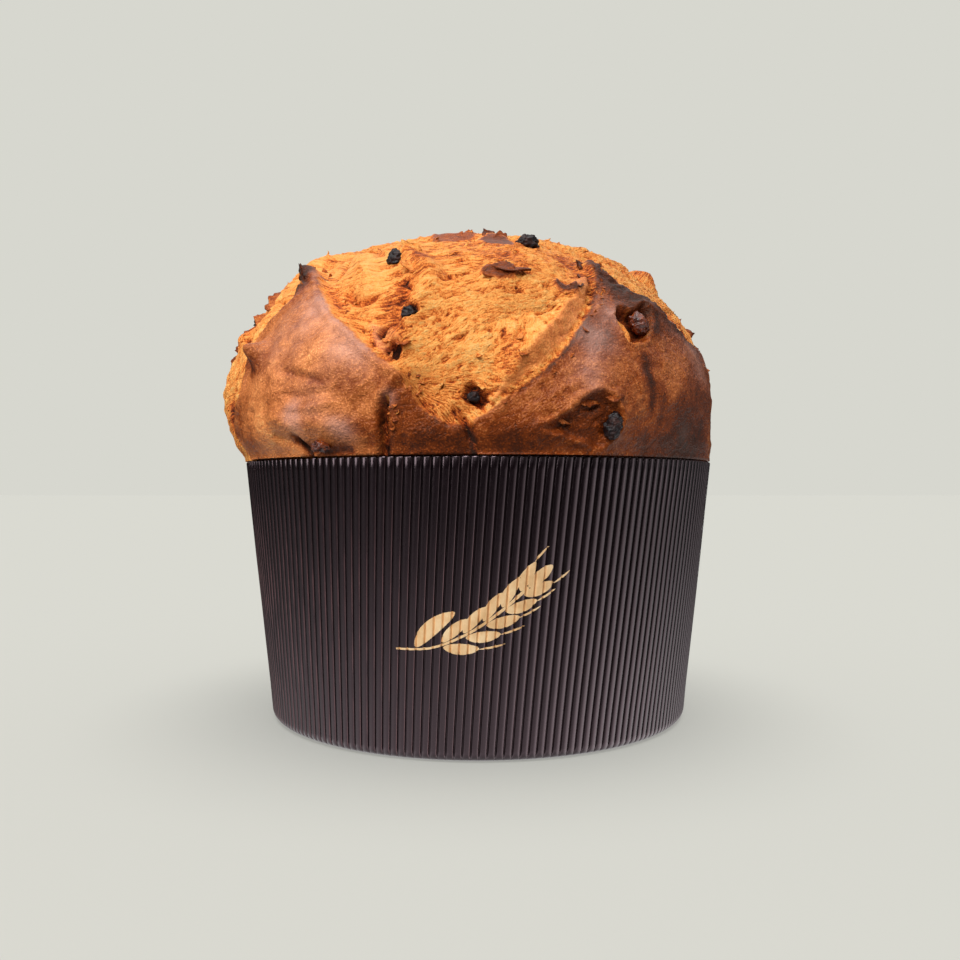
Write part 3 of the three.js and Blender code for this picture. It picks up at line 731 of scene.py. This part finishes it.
# Painted shade: the crumb's tone darkens where the same threads, tufts and fuzz sink in the bump below, on top
# of its own tone.
crumb_shade = bread.math("ADD", crumb_baked_and_shaded, bread.mapped(threads, 0.3, 0.7, 0.25, -0.25))
crumb_shade = bread.math("ADD", crumb_shade, bread.mapped(tufts, 0.3, 0.7, 0.06, -0.06))
crumb_shade = bread.math("ADD", crumb_shade, bread.mapped(fuzz, 0.3, 0.7, 0.18, -0.17))
crumb = bread.ramp(crumb_shade, [
    (0.0, colour(255, 194, 116)), (0.16, colour(255, 180, 96)), (0.3, colour(255, 166, 84)),
    (0.45, colour(230, 128, 54)), (0.62, colour(176, 78, 30)), (0.82, colour(92, 36, 16)),
    (1.0, colour(36, 16, 12)),
])
crust_shade = bread.math("ADD", baked, bread.mapped(mottle, 0.3, 0.7, 0.11, -0.11))
crust_shade = bread.math("ADD", crust_shade, bread.mapped(speckle, 0.52, 0.72, 0.0, -0.19))
crust_shade = bread.math("ADD", crust_shade, bread.mapped(stretch_marks, 0.3, 0.7, 0.05, -0.06))
crust_shade = bread.math("ADD", crust_shade, bread.mapped(pores, 0.3, 0.5, 0.1, 0.0))
skin = bread.ramp(crust_shade, [
    (0.0, colour(246, 182, 112)), (0.2, colour(218, 134, 76)), (0.4, colour(172, 98, 50)),
    (0.58, colour(126, 56, 16)), (0.78, colour(74, 29, 8)), (1.0, colour(36, 16, 10)),
])
# A painted sheen: the skin is mixed towards pale pinkish grey where the crust is glossy, which is also less
# rough.
painted_sheen_and_gloss = bread.math("MULTIPLY", bread.attribute("gloss_and_sheen")["Fac"], bread.mapped(mottle, 0.3, 0.7, 0.7, 1.1))
skin = bread.mix(bread.math("MULTIPLY", painted_sheen_and_gloss, 0.44), skin, colour(204, 162, 150))
crust_gloss = bread.mapped(painted_sheen_and_gloss, 0, 1, 0.36, 0.24)
crust_gloss = bread.math("ADD", crust_gloss, bread.mapped(baked, 0.6, 1.0, 0.0, 0.2))
crumb_rough = bread.bump(fuzz, 0.001, 0.8, bread.bump(threads, 0.0013, 0.8, bread.bump(tufts, 0.0012, 0.4)))
crust_rough = bread.bump(speckle, 0.0005, 0.55, bread.bump(stretch_marks, 0.0009, 0.6))
crust_rough = bread.bump(pores, 0.0003, 0.3, bread.bump(mottle, 0.0016, 0.4, crust_rough))
normal = bread.add("ShaderNodeMix", data_type="VECTOR")
bread.feed(normal, {0: is_crust, 4: crumb_rough, 5: crust_rough})
bread.feed(bread.surface, {
    "Base Color": bread.mix(is_crust, crumb, skin),
    "Roughness": bread.mapped(is_crust, 0, 1, 0.56, crust_gloss),
    "Specular IOR Level": 0.2,
    "Specular Tint": (1, 0.78, 0.6, 1),
    "Normal": normal.outputs[1],
})
loaf.data.materials.append(bread.material)
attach(loaf, "root")
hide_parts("loaf")


# The fruit is raisins and cubes of candied orange peel, baked into the dough and showing where it tore. The
# raisins have dried almost black, and the peel is brown and sticky. Each starts from its solid, is divided
# finely, and is drawn in between its wrinkles.
WRINKLE_SIZE = 2.4
WRINKLE_DEPTH = 1.4
raisin_skin = Shading("dried_raisin")
here = raisin_skin.add("ShaderNodeTexCoord").outputs["Object"]
creases = raisin_skin.noise(here, 420, 4, 0.6)
bloom = raisin_skin.noise(here, 700, 3, 0.5)
raisin_skin.feed(raisin_skin.surface, {
    "Base Color": raisin_skin.ramp(creases, [(0.3, colour(10, 7, 8)), (0.5, colour(24, 16, 18)),
                                             (0.72, colour(58, 32, 26))]),
    "Roughness": raisin_skin.mapped(bloom, 0.3, 0.7, 0.32, 0.52),
    "Specular IOR Level": 0.2,
    "Normal": raisin_skin.bump(creases, 0.0006, 0.7),
})
candied = Shading("candied_peel")
here = candied.add("ShaderNodeTexCoord").outputs["Object"]
sugar = candied.noise(here, 380, 4, 0.6)
sticky = candied.noise(here, 1400, 2, 0.5)
candied.feed(candied.surface, {
    "Base Color": candied.ramp(sugar, [(0.3, colour(36, 13, 10)), (0.5, colour(88, 36, 18)),
                                       (0.72, colour(162, 80, 34))]),
    "Roughness": candied.mapped(sticky, 0.3, 0.7, 0.18, 0.36),
    "Specular IOR Level": 0.4,
    "Normal": candied.bump(sugar, 0.0006, 0.6, candied.bump(sticky, 0.0002, 0.4)),
})
for name, node in sorted(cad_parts.items()):
    if name in ("paper_case", "loaf"):
        continue
    fruit_bm = bmesh.new()
    fruit_bm.from_mesh(node.data)
    bmesh.ops.remove_doubles(fruit_bm, verts=fruit_bm.verts, dist=0.00001)
    for pass_over in range(3):
        bmesh.ops.subdivide_edges(fruit_bm, edges=fruit_bm.edges, cuts=1, use_grid_fill=True)
        bmesh.ops.smooth_vert(fruit_bm, verts=fruit_bm.verts, factor=0.5, use_axis_x=True, use_axis_y=True,
                              use_axis_z=True)
    fruit_bm.normal_update()
    spots = np.array([v.co for v in fruit_bm.verts]) / MM
    pinch = 0.16 - np.abs(grain(spots * (0.5, 0.8, 1), WRINKLE_SIZE, 2, 5)) + 0.25 * grain(spots, 0.9, 2, 9)
    for vertex, amount in zip(fruit_bm.verts, pinch):
        vertex.co += vertex.normal * (float(amount) * WRINKLE_DEPTH * MM)
    fruit = keep(fruit_bm, "wrinkled_" + name)
    kind = "raisin" if name.startswith("raisin") else "candied_peel"
    fruit.data.materials.append(raisin_skin.material if kind == "raisin" else candied.material)
    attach(fruit, "root")
    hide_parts(name)


# Rags of torn skin and crumb stand up round the tears: scorched collars at the petals' tips, a leaf of crust
# on the crumb, and small tatters along the petals' edges. Each is a small sheet pulled out of shape, with its
# foot sunk in the loaf, and all are joined in one piece.
FLAKE_THICKNESS = 1.0
# Azimuth, rise, width, length, turn of its free end from straight up, how far it stands off, curl, bake and
# crust share.
FLAKES = [
    (7.2, 36.6, 11.5, 3.6, 176, 10, 0.5, 0.78, 0.9), (3.2, 35.2, 5, 3.3, 120, 9, 0.3, 0.6, 0.8),
    (-58, 41.5, 7, 4.4, 12, 50, 0.3, 0.9, 1), (-54.5, 39.8, 6, 4.2, -10, 44, 0.2, 0.94, 1),
    (-51, 38.2, 5, 3.6, -24, 40, 0.2, 0.84, 1), (-66, 36, 9, 4.6, 96, 40, 0.4, 0.56, 0.7),
    (-70, 31.5, 6, 4, 80, 36, 0.5, 0.5, 0.7), (-77, 25, 6, 3.4, 96, 34, 0.6, 0.7, 0.9),
    (-80, 22, 5, 2.5, 80, 27, 0.4, 0.66, 0.9), (-76, 29, 8, 4.2, 110, 44, 0.5, 0.6, 0.9),
    (83, 36, 8, 4.6, -86, 46, 0.4, 0.5, 0.8), (82, 31.5, 7, 4.2, -96, 42, 0.4, 0.64, 0.9),
    (82, 27, 6, 3.6, -80, 38, 0.4, 0.7, 0.9), (80, 25, 4, 2.5, 0, 30, 0.4, 0.6, 0.8),
    (86, 15, 6, 2.6, -90, 34, 0.3, 0.65, 0.9), (85, 4.5, 6, 3.2, -90, 44, 0.3, 0.72, 0.9),
    (83, 9, 3.6, 2, 90, 33, 0.3, 0.7, 0.9), (-10, 60, 6, 3, -30, 15, 0.4, 0.6, 0.7),
    (-4, 61, 5, 2.5, 10, 16, 0.4, 0.58, 0.6), (5, 61, 5.5, 2.8, 30, 16, 0.4, 0.7, 0.9),
    (10, 59, 5, 2.5, 5, 20, 0.5, 0.72, 0.9), (-2, 64, 5, 2.5, -10, 21, 0.4, 0.6, 0.7),
    (-17.0, 43.5, 6, 5.3, 60, 16, 0.7, 0.24, 0.1), (-15, 38, 6, 4.1, 100, 14, 0.6, 0.32, 0.2),
    (-16.6, 24.6, 5.5, 3, 150, 16, 0.4, 0.56, 0.6), (-14.4, 22.6, 5, 2.6, 120, 18, 0.4, 0.5, 0.6),
    (-14.2, 20.4, 4.6, 2.5, 170, 18, 0.4, 0.6, 0.7), (-17.6, 21.6, 4, 2.3, 200, 15, 0.3, 0.42, 0.5),
    (-12.0, 16.4, 3, 2.3, 60, 15, 0.4, 0.6, 0.7), (-13.0, 13.6, 3, 2.1, 70, 16, 0.4, 0.66, 0.8),
    (18.8, 34.2, 4.6, 2.1, 150, 15, 0.4, 0.8, 1), (22.2, 33.4, 4.4, 2.1, 190, 14, 0.4, 0.86, 1),
    (25.5, 36.2, 4.4, 2.5, 120, 14, 0.3, 0.76, 0.9), (29.5, 42.0, 5, 2.8, 60, 14, 0.4, 0.8, 1),
    (7.6, 22.4, 4.2, 2.5, 200, 14, 0.4, 0.4, 0.5), (8.6, 18.6, 3.6, 2.5, 150, 15, 0.3, 0.54, 0.6),
    (0.8, 12.6, 3, 1.8, 180, 15, 0.3, 0.2, 0.1), (-1.1, 10.6, 2.4, 1.6, 120, 18, 0.3, 0.24, 0.2),
    (20.5, 10.2, 9, 2.5, 172, 8, 0.3, 0.6, 1), (25.6, 10.6, 6, 2.1, 190, 8, 0.3, 0.66, 1),
    (16, 6.6, 5, 1.5, 150, 10, 0.2, 0.46, 1), (12.5, 47, 5, 2.8, 40, 14, 0.4, 0.4, 0.5),
    (122, 43.5, 6, 3.4, 0, 18, 0.5, 0.86, 1), (118, 40, 5, 3, 30, 16, 0.4, 0.8, 1),
    (221, 44.5, 6, 3.6, -10, 18, 0.5, 0.88, 1), (226, 41, 5, 3, -40, 16, 0.4, 0.8, 1),
    (160, 30, 6, 3, 150, 14, 0.4, 0.7, 0.9), (187, 34, 8, 3.2, 170, 12, 0.4, 0.76, 0.9),
    (174, 21, 5, 3, 120, 16, 0.4, 0.6, 0.8), (170, 50, 7, 3.2, 20, 16, 0.4, 0.7, 0.9),
    (200, 56, 6, 3, -30, 16, 0.4, 0.66, 0.9), (98, 34, 5, 3, 20, 26, 0.4, 0.6, 0.9),
    (21, 50.0, 5, 3.3, 20, 20, 0.4, 0.24, 0.2), (15, 51.0, 4.6, 3.3, -20, 21, 0.4, 0.26, 0.2),
]
TATTERS = 110
SHREDS = 260
chance = random.Random(11)


def flake(bm, surface, shape, segments=(6, 7)):
    """A ragged sheet whose foot is sunk in the loaf, and whose far end stands off and curls."""
    az, up, width, length, turn, stand_off, curl, bake, cover = shape
    out = Vector(direction(az, up))
    foot = surface.ray_cast(Vector((0, 0, SEAT)) * MM, out)[0] / MM
    east = Vector((0, 0, 1)).cross(out).normalized()
    north = out.cross(east)
    turn, stand_off = math.radians(turn), math.radians(stand_off)
    ahead = north * math.cos(turn) - east * math.sin(turn)
    across = ahead.cross(out)
    made = bmesh.ops.create_grid(bm, x_segments=segments[0], y_segments=segments[1], size=1)["verts"]
    sheet = list({face for vertex in made for face in vertex.link_faces})
    under = bmesh.ops.extrude_face_region(bm, geom=sheet)["geom"]
    for vertex in [v for v in under if isinstance(v, bmesh.types.BMVert)]:
        vertex.co.z = -1
        made.append(vertex)
    for vertex in made:
        u, v = vertex.co.x, (vertex.co.y + 1) / 2
        below = vertex.co.z * FLAKE_THICKNESS * (1 - 0.6 * v) * min(1, length / 3)
        rag = noise.noise(Vector((u * 1.4 + az, v * 2.2 + up, 3)))
        narrow = 1 - 0.45 * v * v + 0.35 * rag
        reach_out = v * (1 + 0.35 * noise.noise(Vector((u * 2.4 + up, az, 1))) - 0.35 * u * u)
        lift = math.sin(stand_off) * reach_out + curl * reach_out**2 * 0.5 - 0.15
        lift += 0.16 * noise.noise(Vector((u * 1.7, v * 2.6 + az, up)))
        onward = ahead * (reach_out * length * math.cos(stand_off))
        vertex.co = (foot + across * (u * narrow * width / 2) + onward + out * (lift * length + below)) * MM
        vertex[crust_layer] = cover
        vertex[bake_layer] = bake + 0.16 * rag
        vertex[crumb_layer] = bake + 0.1 * rag
        vertex[strand_layer] = vertex.co


rags_bm = bmesh.new()
crust_layer = rags_bm.verts.layers.float.new("crust")
bake_layer = rags_bm.verts.layers.float.new("bake")
crumb_layer = rags_bm.verts.layers.float.new("crumb_bake_and_shade")
strand_layer = rags_bm.verts.layers.float_vector.new("strand")
surface_bm = bmesh.new()
surface_bm.from_mesh(loaf.data)
surface = BVHTree.FromBMesh(surface_bm)
surface_bm.free()
for shape in FLAKES:
    flake(rags_bm, surface, shape)
edges = [petal["outline"][1:-1] for petal in PETALS]
for i in range(TATTERS):
    line = curve_through(chance.choice(edges), 60)
    az, up = line[chance.randrange(4, 56)]
    if up > 4:
        shape = (az + chance.gauss(0, 0.5), up + chance.gauss(0, 0.5), chance.uniform(1, 2.6),
                 chance.uniform(0.8, 2.0), chance.uniform(0, 360), chance.uniform(8, 40), 0.3,
                 chance.uniform(0.4, 0.7), chance.uniform(0.5, 1))
        flake(rags_bm, surface, shape, (3, 3))
is_crumb = np.flatnonzero((cover < 0.2) & (rise > 6))
for i in range(SHREDS):
    at = chance.choice(is_crumb)
    shape = (azimuth[at], rise[at], chance.uniform(0.7, 1.9), chance.uniform(1.2, 3.4), chance.gauss(-70, 40),
             chance.uniform(6, 26), 0.3, chance.uniform(0.12, 0.42), 0)
    flake(rags_bm, surface, shape, (2, 4))
bmesh.ops.recalc_face_normals(rags_bm, faces=rags_bm.faces)
rags = keep(rags_bm, "torn_rags")
rags.data.materials.append(bread.material)
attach(rags, "root")


# The studio: a pale floor that runs on without an end, with the world's light on it, and soft lamps above,
# behind and to the sides. The camera stands where the photograph was taken from.
PAPER_WHITE = colour(215, 215, 207)
WARMTH = (1, 0.88, 0.74, 1)
floor_bm = bmesh.new()
bmesh.ops.create_grid(floor_bm, x_segments=1, y_segments=1, size=20)
floor_mesh = bpy.data.meshes.new("studio_floor")
floor_bm.to_mesh(floor_mesh)
floor_bm.free()
floor = bpy.data.objects.new("studio_floor", floor_mesh)
bpy.context.scene.collection.objects.link(floor)
ground = Shading("studio_floor")
ground.feed(ground.surface, {
    "Base Color": (0.33, 0.373, 0.405, 1),
    "Roughness": 1.0,
    "Specular IOR Level": 0.0,
    "Emission Color": PAPER_WHITE,
    "Emission Strength": 0.455,
})
floor_mesh.materials.append(ground.material)
floor.visible_diffuse = False
floor.visible_glossy = False

# The room as the camera sees it is the floor's own shade. For soft light it is brighter overhead, and gloss
# sees the pale table close by, a dark room at eye height and white above.
world = bpy.data.worlds.new("studio")
world.use_nodes = True
nodes = world.node_tree.nodes
links = world.node_tree.links
ways = nodes.new("ShaderNodeTexCoord")
split = nodes.new("ShaderNodeSeparateXYZ")
links.new(ways.outputs["Generated"], split.inputs[0])
height = nodes.new("ShaderNodeMapRange")
height.inputs["From Min"].default_value = -1
links.new(split.outputs["Z"], height.inputs["Value"])
rays = nodes.new("ShaderNodeLightPath")


def sky(stops, way=height):
    ramp = nodes.new("ShaderNodeValToRGB")
    while len(ramp.color_ramp.elements) < len(stops):
        ramp.color_ramp.elements.new(0.5)
    for element, (position, level) in zip(ramp.color_ramp.elements, stops):
        element.position = position
        element.color = (level, level, level, 1)
    links.new(way.outputs["Result"], ramp.inputs["Fac"])
    return ramp.outputs["Color"]


def choose(fraction, a, b):
    node = nodes.new("ShaderNodeMix")
    node.data_type = "RGBA"
    links.new(fraction, node.inputs["Factor"])
    links.new(a, node.inputs[6])
    if isinstance(b, bpy.types.NodeSocket):
        links.new(b, node.inputs[7])
    else:
        node.inputs[7].default_value = b
    return node.outputs[2]


soft = sky([(0, 0.13), (0.47, 0.15), (0.5, 0.26), (0.7, 0.4), (1, 0.5)])
ahead = sky([(0, 0.5), (0.26, 0.9), (0.34, 0.2), (0.38, 0.0),
             (0.56, 0.0), (0.74, 0.3), (0.88, 1.6), (1, 2.2)])
aside = sky([(0, 5.0), (0.12, 2.6), (0.28, 2.2), (0.4, 0.9),
             (0.46, 0.2), (0.64, 0.2), (0.88, 1.5), (1, 2.0)])
sideways = nodes.new("ShaderNodeMapRange")
sideways.inputs["From Min"].default_value = -1
links.new(split.outputs["X"], sideways.inputs["Value"])
windows = sky([(0, 0.26), (0.12, 0.16), (0.26, 0.02), (0.72, 0.0), (0.84, 0.45), (1, 1.0)], sideways)
warm = nodes.new("ShaderNodeMix")
warm.data_type = "RGBA"
warm.blend_type = "MULTIPLY"
warm.inputs["Factor"].default_value = 1
warm.inputs[7].default_value = WARMTH
links.new(soft, warm.inputs[6])
seen = choose(rays.outputs["Is Glossy Ray"], warm.outputs[2], choose(windows, ahead, aside))
seen = choose(rays.outputs["Is Camera Ray"], seen, PAPER_WHITE)
links.new(seen, nodes["Background"].inputs["Color"])
bpy.context.scene.world = world


def lamp(name, place, target, size, power):
    data = bpy.data.lights.new(name, "AREA")
    data.shape = "RECTANGLE"
    data.size, data.size_y = size
    data.energy = power
    lit = bpy.data.objects.new(name, data)
    bpy.context.scene.collection.objects.link(lit)
    lit.location = place
    lit.rotation_euler = (Vector(target) - Vector(place)).to_track_quat("-Z", "Y").to_euler()
    return lit


indoors = bpy.data.collections.new("not_the_floor")
indoors.objects.link(floor)
indoors.collection_objects[0].light_linking.link_state = "EXCLUDE"
for lit in (
    lamp("softbox_above", (-0.16, -0.6, 0.6), (0, 0, 0.12), (0.5, 0.45), 6.4),
    lamp("panel_left", (-0.7, -0.4, 0.36), (0, 0, 0.1), (0.4, 0.5), 2.2),
    lamp("panel_behind", (0.1, 0.8, 0.2), (0, 0, 0.1), (0.5, 0.5), 2.6),
    lamp("panel_right", (0.75, -0.2, 0.2), (0, 0, 0.1), (0.4, 0.5), 0.5),
):
    lit.light_linking.receiver_collection = indoors
ceiling_light = bpy.data.lights.new("ceiling_light", "SUN")
ceiling_light.energy = 2.35
ceiling_light.color = WARMTH[:3]
ceiling_light.angle = math.radians(50)
ceiling = bpy.data.objects.new("ceiling_light", ceiling_light)
bpy.context.scene.collection.objects.link(ceiling)
ceiling.location = (0, 0, 1)
ceiling.light_linking.receiver_collection = bpy.data.collections.new("only_the_floor")
ceiling.light_linking.receiver_collection.objects.link(floor)

camera_data = bpy.data.cameras.new("camera")
camera_data.lens = 33.7
camera_data.sensor_width = 36
camera_data.shift_x = 0.0018
camera_data.clip_start = 0.01
camera = bpy.data.objects.new("camera", camera_data)
camera.location = (0, -0.340, 0.0797)
camera.rotation_euler = (math.pi / 2 + 0.013, 0, 0)
bpy.context.scene.collection.objects.link(camera)
bpy.context.scene.camera = camera
bpy.context.scene.view_settings.view_transform = "Standard"
